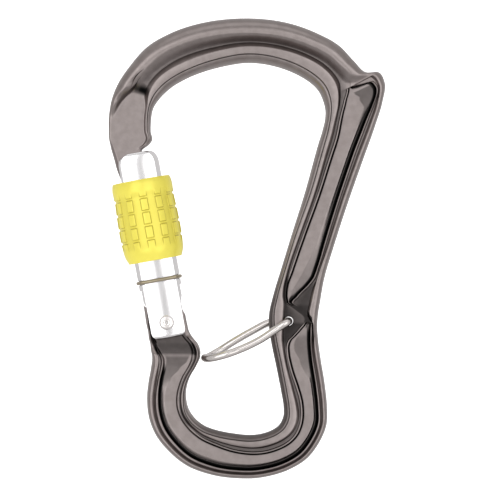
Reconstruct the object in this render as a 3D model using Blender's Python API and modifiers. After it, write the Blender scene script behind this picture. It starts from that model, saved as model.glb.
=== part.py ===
"""Locking carabiner with a screw sleeve and a captive wire bail.

Lengths are in millimetres here and become metres in to_metres(). The carabiner stands
upright in the XZ plane, +Z up and +X towards its spine, with its thickness along Y. The
origin is the top of the bow's inside, where a rope or sling carries it.

The frame is a loft. Each station pairs a point of its outer outline with one of its inner
outline, and the half section between them is an I-beam: a rounded rope side, an inner rim,
a pocket floor and an outer rim, mirrored to the back.

Gate parts are made in the gate's own axes, with its rivet as the origin and its length
along +Z, and hang from an empty that leans as the gate does.
"""

import math

import bmesh
import bpy
import numpy as np

MILLIMETRE = 0.001

# ---- frame: outlines and half section ---------------------------------------------------

# (outer x, outer z, inner x, inner z), from the tongue in the gate, round the bow, the horn,
# the spine and the basket, to the tang that the gate turns on.
STATIONS = (
    (-32.4, -29.5, -26.3, -28.5),  # 0 end of the tongue
    (-33.3, -27.2, -26.5, -26.1),
    (-34.1, -24.2, -26.9, -23.0),
    (-34.7, -22.2, -26.8, -22.0),  # 3 shoulder over the gate's end
    (-35.0, -20.9, -25.3, -20.9),
    (-35.3, -19.5, -24.4, -19.7),  # 5 beak
    (-35.4, -17.0, -24.7, -17.4),
    (-35.4, -14.0, -24.6, -14.4),
    (-34.7, -9.4, -24.0, -11.4),
    (-33.1, -5.3, -22.2, -8.8),
    (-30.1, -0.8, -19.5, -6.3),  # 10 bow
    (-25.7, 4.1, -15.8, -4.1),
    (-19.3, 7.8, -11.4, -2.3),
    (-10.9, 10.4, -5.8, -0.8),
    (-0.8, 11.4, 0.0, 0.0),
    (9.4, 10.4, 6.1, -0.7),  # 15
    (17.8, 7.5, 11.7, -2.6),
    (23.5, 4.2, 15.5, -4.8),
    (27.0, 0.5, 17.4, -6.5),
    (30.0, -2.3, 18.4, -8.0),
    (33.2, -2.3, 19.1, -9.7),  # 20 horn
    (34.8, -5.1, 19.6, -11.7),
    (34.2, -9.9, 19.6, -14.0),
    (32.4, -15.8, 19.0, -16.8),
    (29.2, -24.8, 17.6, -21.4),
    (25.3, -35.9, 14.5, -32.7),  # 25 spine
    (21.8, -46.7, 11.1, -43.5),
    (19.4, -54.8, 8.5, -52.0),
    (18.4, -60.3, 6.4, -59.0),
    (17.9, -63.3, 5.4, -63.3),
    (17.6, -66.6, 5.3, -66.6),  # 30 beside the wire's pivot
    (17.8, -69.9, 5.8, -70.4),
    (18.4, -74.7, 7.1, -76.8),
    (19.6, -82.1, 8.4, -83.4),
    (20.1, -87.0, 9.0, -87.0),
    (20.0, -91.8, 9.0, -89.6),  # 35 basket
    (18.4, -95.9, 8.1, -91.7),
    (15.4, -100.1, 6.4, -93.1),
    (10.7, -103.2, 3.8, -94.1),
    (3.6, -105.3, 0.3, -94.5),
    (-3.1, -105.5, -3.8, -94.1),  # 40
    (-9.4, -104.6, -7.9, -93.3),
    (-15.4, -102.4, -11.1, -92.1),
    (-20.0, -98.8, -13.6, -90.1),
    (-23.4, -94.6, -15.1, -87.7),
    (-25.2, -90.0, -15.7, -84.9),  # 45 column below the gate
    (-25.7, -85.2, -15.5, -82.1),
    (-25.3, -80.9, -14.6, -79.5),
    (-24.7, -77.6, -13.1, -76.9),
    (-24.4, -74.8, -12.2, -74.8),
    (-24.7, -72.9, -12.1, -73.1),  # 50 bump that the wire closes on
    (-24.9, -71.2, -12.8, -71.2),
    (-25.2, -70.1, -13.8, -70.0),
    (-25.4, -68.4, -14.9, -68.3),
    (-25.9, -66.1, -15.4, -66.4),
    (-26.3, -63.3, -15.8, -64.5),  # 55 tang
    (-26.8, -60.5, -16.5, -61.0),
)

# Half section against station number. Widths run from the inner edge, except the outer
# rim's and the outer round's, which run from the outer edge. Heights are from mid-plane.
PLATE_HALF = 2.0  # tongue and tang, which the gate's slots straddle
SECTION_KEYS = {
    "round_in": ((0, 0.5), (3, 0.5), (4, 0.9), (8, 1.3), (10, 1.7), (14, 1.8), (22, 1.5),
                 (33, 1.5), (39, 1.9), (46, 1.6), (50, 1.4), (53.6, 0.5)),
    "crest_in": ((3, PLATE_HALF), (4, 2.6), (6, 3.4), (9, 4.4), (12, 4.9), (18, 4.9),
                 (23, 4.5), (28, 3.9), (32, 3.9), (35, 4.3), (39, 4.6), (46, 4.3),
                 (50, 3.6), (52, 2.9), (52.6, PLATE_HALF)),
    "land_end": ((3, 1.0), (5, 1.5), (8, 1.8), (10, 2.3), (14, 2.5), (18, 2.6), (19.6, 6.4),
                 (21, 4.1), (23, 3.4), (24, 3.7), (27, 4.1), (28.3, 3.8), (28.9, 2.8),
                 (29.6, 2.8), (30, 8.6), (31, 5.1), (31.4, 4.2), (33, 4.8), (38, 5.1),
                 (41, 4.4), (43, 3.0), (45, 2.0), (49, 2.0), (50.5, 1.5)),
    "wall_in": ((5, 0.4), (8, 0.8), (10, 1.8), (18, 2.0), (19.6, 0.35), (39, 0.35), (43, 1.4),
                (46, 0.8), (50, 0.5)),
    "floor": ((8, PLATE_HALF), (9.5, 3.3), (17, 3.3), (18.9, 4.2), (19.7, 2.6), (28, 2.6),
              (28.9, 3.1), (29.8, 3.1), (30.2, 2.6), (49, 2.6), (50.2, PLATE_HALF)),
    "wall_out": ((7, 0.3), (9, 1.6), (11, 2.8), (18, 2.8), (19.6, 0.7), (24, 0.6), (47, 0.5),
                 (50, 0.4)),
    "rim_out": ((7, 0.5), (8, 1.3), (9, 2.6), (10, 3.1), (12, 3.8), (18, 3.9), (20, 3.5),
                (21, 5.4), (22, 5.5), (23, 4.8), (24, 3.7), (25, 3.1), (27, 3.1), (28, 7.3),
                (28.3, 8.0), (28.9, 3.4), (29.6, 3.4), (30, 2.0), (31, 2.2), (40, 2.4),
                (43, 2.9), (48, 3.2), (49.3, 3.4), (50.5, 0.9)),
    "crest_out": ((7, PLATE_HALF), (8, 3.3), (9, 4.4), (10, 4.9), (14, 5.1), (18, 4.9),
                  (20, 4.4), (24, 4.5), (28, 3.9), (32, 4.0), (36, 4.5), (44, 4.5),
                  (49.3, 4.0), (50.5, 2.8), (52, PLATE_HALF)),
    "round_out": ((0, 1.2), (3, 1.0), (5, 0.4), (7, 0.4), (8, 1.0), (9, 2.3), (12, 3.4),
                  (17, 3.5), (20, 2.6), (22, 2.6), (24, 1.8), (26, 1.7), (40, 1.8),
                  (48, 2.0), (50.5, 0.5), (56, 0.5)),
}
RINGS_PER_STATION = 2
ROUND_STEPS = 4  # segments in each rounded side of the half section

# ---- gate ---------------------------------------------------------------------------------

RIVET = (-20.6, -65.9)  # x, z of the hinge
GATE_LEAN = math.radians(-10.4)  # turns +Z to the closed gate's length, about +Y
GATE_TOP = 43.8
GATE_FOOT = -4.0
GATE_RADIUS = 5.4  # round bar that the gate is milled from
FACE_HALF_WIDTH = 4.3  # milled front and back faces
FACE_EDGE = 3.27  # their distance from mid-plane at their edges
FACE_CROWN = 0.45  # how much further out their middle line is
FOOT_HALF_WIDTH = 4.5  # side plates round the hinge
SHOULDER = (4.6, 6.2)  # heights between which the plates widen to the bar
SLOT_HALF = 2.3
TONGUE_SLOT = (36.4, 2.0)  # floor height, and x of its closed side
TANG_SLOT_TOP = 9.0
SPRING_BORE = (2.2, 22.6)  # radius, top
RING_HEIGHT = 11.0
RING_GROOVE = (0.6, 0.65)  # depth, half width
RING_WIRE = 0.45  # radius
RIVET_SHAFT = 1.4
RIVET_BORE = 1.6
RIVET_HEAD = (1.85, 0.55)  # radius, height

PLUNGER_RADIUS = 1.9
PLUNGER_FOOT = 3.7
PLUNGER_TOP = 12.6
SPRING_TURNS = 7
SPRING_WIRE = 0.3
SPRING_RADIUS = 1.55

# ---- sleeve -------------------------------------------------------------------------------

SLEEVE_BORE = 5.9
SLEEVE_FOOT = 16.1
SLEEVE_TOP = 36.8
SLEEVE_OUTSIDE = (
    (6.8, SLEEVE_FOOT), (7.55, 18.0), (7.8, 20.0), (7.9, 23.5),
    (7.85, 27.0), (7.65, 31.5), (7.5, 36.3), (7.2, SLEEVE_TOP),
)  # radius, height
THREAD_ROOM = (6.75, 24.6, 31.4)  # recess in the sleeve: radius, foot, top
THREAD_RING = (5.75, 6.45, 24.9, 31.1)  # inner and outer radius, foot, top

# ---- wire bail ----------------------------------------------------------------------------

WIRE_PIVOT = (10.3, -65.6)
WIRE_RADIUS = 0.9
WIRE_SPREAD = 5.1  # each leg's distance from mid-plane
WIRE_STUB = 1.5  # how near mid-plane its ends reach in the pivot hole
WIRE_HOLE = 1.2
WIRE_FRONT_LEG = ((10.3, -65.6), (7.6, -67.2), (2.9, -70.3), (-1.9, -72.6), (-6.8, -74.3))
WIRE_BACK_LEG = ((10.3, -65.6), (8.0, -65.4), (5.3, -66.1), (1.3, -68.1), (-3.6, -70.9),
                 (-7.4, -73.3))
WIRE_TIP = (-11.0, -74.9)


# ---- helpers ------------------------------------------------------------------------------

def clear_scene():
    for obj in list(bpy.data.objects):
        bpy.data.objects.remove(obj, do_unlink=True)


def new_collection(name):
    collection = bpy.data.collections.new(name)
    bpy.context.scene.collection.children.link(collection)
    return collection


def to_metres(points):
    return [tuple(float(c) * MILLIMETRE for c in point) for point in points]


def material(name, colour, roughness, metallic=1.0):
    made = bpy.data.materials.new(name)
    made.use_nodes = True
    shader = made.node_tree.nodes["Principled BSDF"]
    shader.inputs["Base Color"].default_value = (*colour, 1.0)
    shader.inputs["Roughness"].default_value = roughness
    shader.inputs["Metallic"].default_value = metallic
    return made


def add_mesh(name, vertices, faces, collection, parent=None):
    """A closed mesh object from millimetre vertices, its faces turned outwards."""
    mesh = bpy.data.meshes.new(name)
    mesh.from_pydata(to_metres(vertices), [], faces)
    shaped = bmesh.new()
    shaped.from_mesh(mesh)
    bmesh.ops.recalc_face_normals(shaped, faces=shaped.faces)
    shaped.to_mesh(mesh)
    shaped.free()
    obj = bpy.data.objects.new(name, mesh)
    obj.parent = parent
    collection.objects.link(obj)
    return obj


def stack_rings(rings):
    """Vertices and faces of a closed body through rings of equal size, with flat ends."""
    count = len(rings[0])
    vertices = [point for ring in rings for point in ring]
    faces = []
    for level in range(len(rings) - 1):
        for i in range(count):
            j = (i + 1) % count
            low, high = level * count, (level + 1) * count
            faces.append((low + i, low + j, high + j, high + i))
    last = (len(rings) - 1) * count
    faces.append(tuple(range(count))[::-1])
    faces.append(tuple(range(last, last + count)))
    return vertices, faces


def add_prism(name, outline, low, high, across, collection, parent=None):
    """An outline extruded along Y, where across is "y" and it is in XZ, or along Z."""
    if across == "y":
        rings = [[(x, level, z) for x, z in outline] for level in (low, high)]
    else:
        rings = [[(x, y, level) for x, y in outline] for level in (low, high)]
    return add_mesh(name, *stack_rings(rings), collection, parent)


def circle(radius, steps, centre=(0.0, 0.0)):
    turns = np.linspace(0.0, 2 * math.pi, steps, endpoint=False)
    return [(centre[0] + radius * math.cos(t), centre[1] + radius * math.sin(t)) for t in turns]


def corner(centre, radius, start, end, steps=4):
    """Points of a round corner, with its angles in degrees."""
    turns = np.radians(np.linspace(start, end, steps + 1))
    return [(centre[0] + radius * math.cos(t), centre[1] + radius * math.sin(t)) for t in turns]


def add_turned(name, profile, steps, collection, parent=None):
    """A closed (radius, height) profile, up its outer side, turned by a Screw modifier."""
    profile = profile[::-1]
    mesh = bpy.data.meshes.new(name)
    edges = [(i, (i + 1) % len(profile)) for i in range(len(profile))]
    mesh.from_pydata(to_metres([(r, 0.0, z) for r, z in profile]), edges, [])
    obj = bpy.data.objects.new(name, mesh)
    obj.parent = parent
    collection.objects.link(obj)
    turn = obj.modifiers.new("Turn", "SCREW")
    turn.axis = "Z"
    turn.angle = 2 * math.pi
    turn.steps = turn.render_steps = steps
    turn.use_merge_vertices = True
    turn.merge_threshold = 0.00001
    return obj


def add_wire(name, points, radius, collection, parent=None):
    """A round wire along points, as a curve with filled ends."""
    curve = bpy.data.curves.new(name, "CURVE")
    curve.dimensions = "3D"
    curve.bevel_depth = radius * MILLIMETRE
    curve.bevel_resolution = 2
    curve.use_fill_caps = True
    spline = curve.splines.new("POLY")
    spline.points.add(len(points) - 1)
    for knot, place in zip(spline.points, to_metres(points)):
        knot.co = (*place, 1.0)
    obj = bpy.data.objects.new(name, curve)
    obj.parent = parent
    collection.objects.link(obj)
    return obj


def boolean(obj, cutter, operation="DIFFERENCE"):
    step = obj.modifiers.new(cutter.name, "BOOLEAN")
    step.operation = operation
    step.object = cutter
    step.solver = "EXACT"


def smooth_points(points, samples):
    """Points on a smooth curve through the given ones, by cubic Hermite segments."""
    points = np.asarray(points, dtype=float)
    gaps = np.linalg.norm(np.diff(points, axis=0), axis=1)
    knots = np.concatenate(([0.0], np.cumsum(gaps)))
    slopes = np.gradient(points, knots, axis=0)
    at = np.linspace(0.0, knots[-1], samples)
    return hermite(points, slopes, knots, at)


def hermite(points, slopes, knots, at):
    piece = np.clip(np.searchsorted(knots, at, side="right") - 1, 0, len(knots) - 2)
    span = knots[piece + 1] - knots[piece]
    t = ((at - knots[piece]) / span)[:, None]
    span = span[:, None]
    return ((2 * t**3 - 3 * t**2 + 1) * points[piece] + (t**3 - 2 * t**2 + t) * span * slopes[piece]
            + (3 * t**2 - 2 * t**3) * points[piece + 1] + (t**3 - t**2) * span * slopes[piece + 1])


# ---- frame --------------------------------------------------------------------------------

def section_value(key, station):
    """A half section measure at a station number, eased between its keys."""
    places, values = zip(*SECTION_KEYS[key])
    place = min(max(station, places[0]), places[-1])
    after = min(max(int(np.searchsorted(places, place, side="right")), 1), len(places) - 1)
    t = (place - places[after - 1]) / (places[after] - places[after - 1])
    ease = t * t * (3 - 2 * t)
    return values[after - 1] + (values[after] - values[after - 1]) * ease


def half_section(station, width):
    """(distance from the inner edge, height) from the inner edge to the outer one."""
    measure = {key: section_value(key, station) for key in SECTION_KEYS}
    quarter = np.linspace(0.0, math.pi / 2, ROUND_STEPS + 1)
    inner = [(measure["round_in"] * (1 - math.cos(q)), measure["crest_in"] * math.sin(q))
             for q in quarter]
    land = max(measure["land_end"], measure["round_in"] + 0.1)
    rim = width - max(measure["rim_out"], measure["round_out"] + 0.1)
    rim = max(rim, land + 0.4)
    walls = measure["wall_in"] + measure["wall_out"]
    fit = min(1.0, 0.9 * (rim - land) / walls)
    floor_in = measure["crest_in"] + (measure["floor"] - measure["crest_in"]) * fit
    floor_out = measure["crest_out"] + (measure["floor"] - measure["crest_out"]) * fit
    trough = [
        (land, measure["crest_in"]),
        (land + measure["wall_in"] * fit, floor_in),
        (rim - measure["wall_out"] * fit, floor_out),
        (rim, measure["crest_out"]),
    ]
    outer = [(width - measure["round_out"] * (1 - math.sin(q)), measure["crest_out"] * math.cos(q))
             for q in quarter]
    return inner + trough + outer


def frame_rings():
    table = np.array(STATIONS)
    middle = (table[:, :2] + table[:, 2:]) / 2
    knots = np.concatenate(([0.0], np.cumsum(np.linalg.norm(np.diff(middle, axis=0), axis=1))))
    slopes = np.gradient(table, knots, axis=0)
    numbers = np.linspace(0, len(table) - 1, (len(table) - 1) * RINGS_PER_STATION + 1)
    at = np.interp(numbers, np.arange(len(table)), knots)
    rings = []
    for number, (outer_x, outer_z, inner_x, inner_z) in zip(numbers, hermite(table, slopes, knots, at)):
        width = math.hypot(outer_x - inner_x, outer_z - inner_z)
        step_x, step_z = (outer_x - inner_x) / width, (outer_z - inner_z) / width
        half = half_section(number, width)
        front = [(inner_x + u * step_x, -h, inner_z + u * step_z) for u, h in half]
        back = [(inner_x + u * step_x, h, inner_z + u * step_z) for u, h in half[-2:0:-1]]
        rings.append(front + back)
    return rings


def make_frame(collection, cutters, hinge):
    frame = add_mesh("forged_frame", *stack_rings(frame_rings()), collection)
    # The tang's end: a hook at its outer side, then a step that the plunger bears on.
    tang_end = [(-9.0, 7.6), (-5.6, 6.6), (-4.9, 5.0), (-3.6, 3.7), (-2.8, 3.4), (3.2, 3.4),
                (4.4, 2.6), (5.0, 0.9), (9.0, 0.9), (9.0, 12.0), (-9.0, 12.0)]
    end_cutter = add_prism("tang_end_cut", tang_end, -6.0, 6.0, "y", cutters, hinge)
    bore = add_prism("rivet_cut", circle(RIVET_BORE + 0.1, 24), -6.0, 6.0, "y", cutters, hinge)
    hole = add_prism("wire_cut", circle(WIRE_HOLE, 20, WIRE_PIVOT), -6.0, 6.0, "y", cutters)
    for cutter in (end_cutter, bore, hole):
        boolean(frame, cutter)
    frame.data.materials.append(material("anodised_frame", (0.27, 0.24, 0.225), 0.38))
    return frame


# ---- gate parts ---------------------------------------------------------------------------

def gate_section(inset=0.0):
    """The bar's outline: crowned faces front and back, round sides."""
    across = np.linspace(-FACE_HALF_WIDTH, FACE_HALF_WIDTH, 9)
    front = [(x, -(FACE_EDGE + FACE_CROWN * (1 - (x / FACE_HALF_WIDTH) ** 2))) for x in across]
    start = math.atan2(FACE_EDGE, FACE_HALF_WIDTH)
    turns = np.linspace(-start, start, 9)[1:-1]
    right = [(GATE_RADIUS * math.cos(t), GATE_RADIUS * math.sin(t)) for t in turns]
    back = [(x, -y) for x, y in reversed(front)]
    left = [(-x, y) for x, y in reversed(right)]
    shrink = 1 - inset / GATE_RADIUS
    return [(x * shrink, y * (1 - inset / FACE_EDGE)) for x, y in front + right + back + left]


def gate_outline():
    """The gate seen from the front, in its own axes."""
    side = GATE_RADIUS + 0.1
    top, foot = GATE_TOP, GATE_FOOT
    low, high = SHOULDER
    right = (corner((FOOT_HALF_WIDTH - 1.5, foot + 1.5), 1.5, -90, 0)
             + [(FOOT_HALF_WIDTH, low), (FOOT_HALF_WIDTH + 0.3, low + 0.7), (side, high)]
             + corner((side - 2.8, top - 2.8), 2.8, 0, 90, 5))
    left = [(-x, z) for x, z in reversed(right)]
    return right + left


def make_gate(collection, cutters, hinge):
    depth, half = RING_GROOVE
    levels = [(GATE_FOOT - 1, 0), (RING_HEIGHT - half, 0), (RING_HEIGHT - half, depth),
              (RING_HEIGHT + half, depth), (RING_HEIGHT + half, 0), (GATE_TOP + 1, 0)]
    rings = [[(x, y, z) for x, y in gate_section(inset)] for z, inset in levels]
    gate = add_mesh("gate", *stack_rings(rings), collection, hinge)
    envelope = add_prism("gate_outline", gate_outline(), -7.0, 7.0, "y", cutters, hinge)
    boolean(gate, envelope, "INTERSECT")
    floor, closed_side = TONGUE_SLOT
    tongue_slot = add_prism("tongue_slot", [(-9, floor), (closed_side, floor), (closed_side, 50),
                            (-9, 50)], -SLOT_HALF, SLOT_HALF, "y", cutters, hinge)
    tang_slot = add_prism("tang_slot", [(-9, -9), (9, -9), (9, TANG_SLOT_TOP),
                          (-9, TANG_SLOT_TOP)], -SLOT_HALF, SLOT_HALF, "y", cutters, hinge)
    radius, bore_top = SPRING_BORE
    bore = add_prism("spring_bore", circle(radius, 24), TANG_SLOT_TOP - 1, bore_top, "z",
                     cutters, hinge)
    rivet_bore = add_prism("plate_bores", circle(RIVET_BORE, 24), -7.0, 7.0, "y", cutters, hinge)
    for cutter in (tongue_slot, tang_slot, bore, rivet_bore):
        boolean(gate, cutter)
    gate.data.materials.append(material("polished_aluminium", (0.91, 0.91, 0.92), 0.18))
    return gate


def make_rivet(collection, hinge):
    """A domed rivet across both plates, its rings stacked along Y."""
    head, height = RIVET_HEAD
    seat = FACE_EDGE + FACE_CROWN + 0.1
    front = [(RIVET_SHAFT, seat), (head, seat), (head, seat + 0.15),
             (head * 0.8, seat + height * 0.75), (head * 0.4, seat + height)]
    profile = [(radius, -level) for radius, level in reversed(front)] + front
    rings = [[(x, level, z) for x, z in circle(radius, 24)] for radius, level in profile]
    rivet = add_mesh("gate_rivet", *stack_rings(rings), collection, hinge)
    rivet.data.materials.append(material("rivet_steel", (0.80, 0.78, 0.76), 0.25))
    return rivet


def make_plunger(collection, hinge):
    """The pin that the spring presses on the tang, with a nose inside the spring."""
    profile = [(0.9, PLUNGER_FOOT), (PLUNGER_RADIUS, PLUNGER_FOOT + 0.8),
               (PLUNGER_RADIUS, PLUNGER_TOP), (0.8, PLUNGER_TOP), (0.8, PLUNGER_TOP + 1.6)]
    rings = [[(x, y, z) for x, y in circle(radius, 20)] for radius, z in profile]
    plunger = add_mesh("spring_plunger", *stack_rings(rings), collection, hinge)
    plunger.data.materials.append(material("plunger_steel", (0.62, 0.61, 0.60), 0.30))
    return plunger


def make_spring(collection, hinge):
    foot = PLUNGER_TOP + SPRING_WIRE + 0.15
    top = SPRING_BORE[1] - SPRING_WIRE - 0.15
    turns = np.linspace(0.0, SPRING_TURNS * 2 * math.pi, SPRING_TURNS * 10 + 1)
    heights = np.linspace(foot, top, len(turns))
    points = [(SPRING_RADIUS * math.cos(t), SPRING_RADIUS * math.sin(t), z)
              for t, z in zip(turns, heights)]
    spring = add_wire("gate_spring", points, SPRING_WIRE, collection, hinge)
    spring.data.materials.append(material("spring_steel", (0.60, 0.60, 0.60), 0.28))
    return spring


def make_stop_ring(collection, hinge):
    """A wire circlip in the gate's groove, open for a short gap at the back."""
    outline = gate_section(inset=-0.05)
    gap = min(range(len(outline)), key=lambda i: (abs(outline[i][0]), -outline[i][1]))
    route = outline[gap:] + outline[:gap]
    points = [(x, y, RING_HEIGHT) for x, y in route[1:]]
    ring = add_wire("stop_ring", points, RING_WIRE, collection, hinge)
    ring.data.materials.append(material("ring_bronze", (0.46, 0.41, 0.33), 0.35))
    return ring


def make_sleeve(collection, hinge):
    radius, foot, top = THREAD_ROOM
    inside = [(SLEEVE_BORE + 0.4, SLEEVE_TOP), (SLEEVE_BORE, SLEEVE_TOP - 0.4), (SLEEVE_BORE, top),
              (radius, top), (radius, foot), (SLEEVE_BORE, foot),
              (SLEEVE_BORE, SLEEVE_FOOT + 0.4), (SLEEVE_BORE + 0.4, SLEEVE_FOOT)]
    sleeve = add_turned("locking_sleeve", list(SLEEVE_OUTSIDE) + inside, 40, collection, hinge)
    sleeve.data.materials.append(material("yellow_anodised", (0.85, 0.78, 0.07), 0.30))
    return sleeve


def make_sleeve_thread(collection, hinge):
    inner, outer, foot, top = THREAD_RING
    profile = [(inner, foot), (outer, foot), (outer, top), (inner, top)]
    thread = add_turned("sleeve_thread", profile, 40, collection, hinge)
    thread.data.materials.append(material("thread_aluminium", (0.72, 0.72, 0.72), 0.35))
    return thread


# ---- wire bail ----------------------------------------------------------------------------

def wire_route():
    """From the front stub, down the front leg, round the tip and up the back leg."""
    stub_turn = 1.1
    tip_x, tip_z = WIRE_TIP
    pivot_x, pivot_z = WIRE_PIVOT
    front = [(pivot_x, -WIRE_STUB, pivot_z), (pivot_x, -WIRE_SPREAD + stub_turn + 0.4, pivot_z),
             (pivot_x - 0.35, -WIRE_SPREAD + 0.25, pivot_z - 0.15)]
    front += [(x, -WIRE_SPREAD, z) for x, z in WIRE_FRONT_LEG[1:]]
    back = [(pivot_x, WIRE_STUB, pivot_z), (pivot_x, WIRE_SPREAD - stub_turn - 0.4, pivot_z),
            (pivot_x - 0.35, WIRE_SPREAD - 0.25, pivot_z)]
    back += [(x, WIRE_SPREAD, z) for x, z in WIRE_BACK_LEG[1:]]
    bend = [(tip_x + 1.0, -3.4, tip_z - 0.1), (tip_x, 0.0, tip_z), (tip_x + 1.0, 3.4, tip_z + 0.2)]
    return smooth_points(front + bend + back[::-1], 78)


def make_wire(collection, pivot):
    pivot_x, pivot_z = WIRE_PIVOT
    points = [(x - pivot_x, y, z - pivot_z) for x, y, z in wire_route()]
    wire = add_wire("wire_bail", points, WIRE_RADIUS, collection, pivot)
    wire.data.materials.append(material("bright_steel", (0.74, 0.74, 0.73), 0.20))
    return wire


# ---- assembly -----------------------------------------------------------------------------

def add_empty(name, place, lean=0.0):
    empty = bpy.data.objects.new(name, None)
    empty.location = to_metres([(place[0], 0.0, place[1])])[0]
    empty.rotation_euler = (0.0, lean, 0.0)
    bpy.context.scene.collection.objects.link(empty)
    return empty


def build():
    clear_scene()
    parts = new_collection("locking_carabiner")
    cutters = new_collection("cutters")
    hinge = add_empty("gate_axes", RIVET, GATE_LEAN)
    pivot = add_empty("wire_axes", WIRE_PIVOT)
    make_frame(parts, cutters, hinge)
    make_gate(parts, cutters, hinge)
    make_rivet(parts, hinge)
    make_plunger(parts, hinge)
    make_spring(parts, hinge)
    make_stop_ring(parts, hinge)
    make_sleeve_thread(parts, hinge)
    make_sleeve(parts, hinge)
    make_wire(parts, pivot)
    for cutter in cutters.objects:
        cutter.display_type = "WIRE"
        cutter.hide_render = True


build()
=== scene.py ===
"""Looks of a locking carabiner with a screw sleeve and a captive wire bail.

Shapes are worked out in millimetres and become metres in solid(). The carabiner stands in the
XZ plane, +Z up, its thickness along Y and its front towards -Y. The frame's mesh is a grid over
(station along the frame, step across the section). Gate parts are made in the gate's own axes,
(across, depth, along) from the rivet, and to_gate() turns them to their place.
"""

import math

import bmesh
import bpy
import numpy as np
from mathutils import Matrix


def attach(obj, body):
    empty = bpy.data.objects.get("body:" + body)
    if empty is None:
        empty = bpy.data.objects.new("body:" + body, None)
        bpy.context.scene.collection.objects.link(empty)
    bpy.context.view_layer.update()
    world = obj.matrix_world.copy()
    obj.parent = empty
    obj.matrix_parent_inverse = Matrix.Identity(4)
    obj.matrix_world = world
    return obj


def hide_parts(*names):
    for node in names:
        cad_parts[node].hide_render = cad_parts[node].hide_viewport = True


MM = 0.001
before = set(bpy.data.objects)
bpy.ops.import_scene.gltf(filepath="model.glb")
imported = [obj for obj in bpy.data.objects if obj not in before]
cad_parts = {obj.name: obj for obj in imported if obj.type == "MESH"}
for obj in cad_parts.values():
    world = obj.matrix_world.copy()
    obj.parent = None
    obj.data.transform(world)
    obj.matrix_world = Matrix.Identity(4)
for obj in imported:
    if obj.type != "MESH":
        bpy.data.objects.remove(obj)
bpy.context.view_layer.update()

# ---- frame outline: (outer x, outer z, inner x, inner z) at each station ------------------

STATIONS = np.array((
    (-32.4, -29.5, -26.3, -28.5),  # 0 end of the tongue
    (-33.3, -27.2, -26.5, -26.1),
    (-34.1, -24.2, -26.9, -23.0),
    (-34.7, -22.2, -26.8, -22.0),  # 3 shoulder over the gate's end
    (-35.0, -20.9, -25.3, -20.9),
    (-35.3, -19.5, -24.4, -19.7),  # 5 beak
    (-35.4, -17.0, -24.7, -17.4),
    (-35.4, -14.0, -24.6, -14.4),
    (-34.7, -9.4, -24.0, -11.4),
    (-33.1, -5.3, -22.2, -8.8),
    (-30.1, -0.8, -19.5, -6.3),  # 10 bow
    (-25.7, 4.1, -15.8, -4.1),
    (-19.3, 7.8, -11.4, -2.3),
    (-10.9, 10.4, -5.8, -0.8),
    (-0.8, 11.4, 0.0, 0.0),
    (9.4, 10.4, 6.1, -0.7),  # 15
    (17.8, 7.5, 11.7, -2.6),
    (23.5, 4.2, 15.5, -4.8),
    (27.0, 0.5, 17.4, -6.5),
    (30.0, -2.3, 18.4, -8.0),
    (33.2, -2.3, 19.1, -9.7),  # 20 horn
    (34.8, -5.1, 19.6, -11.7),
    (34.2, -9.9, 19.6, -14.0),
    (32.4, -15.8, 19.0, -16.8),
    (29.2, -24.8, 17.6, -21.4),
    (25.3, -35.9, 14.5, -32.7),  # 25 spine
    (21.8, -46.7, 11.1, -43.5),
    (19.4, -54.8, 8.5, -52.0),
    (18.4, -60.3, 6.4, -59.0),
    (17.9, -63.3, 5.4, -63.3),
    (17.6, -66.6, 5.3, -66.6),  # 30 beside the wire's pivot
    (17.8, -69.9, 5.8, -70.4),
    (18.4, -74.7, 7.1, -76.8),
    (19.6, -82.1, 8.4, -83.4),
    (20.1, -87.0, 9.0, -87.0),
    (20.0, -91.8, 9.0, -89.6),  # 35 basket
    (18.4, -95.9, 8.1, -91.7),
    (15.4, -100.1, 6.4, -93.1),
    (10.7, -103.2, 3.8, -94.1),
    (3.6, -105.3, 0.3, -94.5),
    (-3.1, -105.5, -3.8, -94.1),  # 40
    (-9.4, -104.6, -7.9, -93.3),
    (-15.4, -102.4, -11.1, -92.1),
    (-20.0, -98.8, -13.6, -90.1),
    (-23.4, -94.6, -15.1, -87.7),
    (-25.2, -90.0, -15.7, -84.9),  # 45 column below the gate
    (-25.7, -85.2, -15.5, -82.1),
    (-25.3, -80.9, -14.6, -79.5),
    (-24.7, -77.6, -13.1, -76.9),
    (-24.4, -74.8, -12.2, -74.8),
    (-24.7, -72.9, -12.1, -73.1),  # 50 bump that the wire closes on
    (-24.9, -71.2, -12.8, -71.2),
    (-25.2, -70.1, -13.8, -70.0),
    (-25.4, -68.4, -14.9, -68.3),
    (-25.9, -66.1, -15.4, -66.4),
    (-26.3, -63.3, -15.8, -64.5),  # 55 tang
    (-26.8, -60.5, -16.5, -61.0),
))

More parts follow.
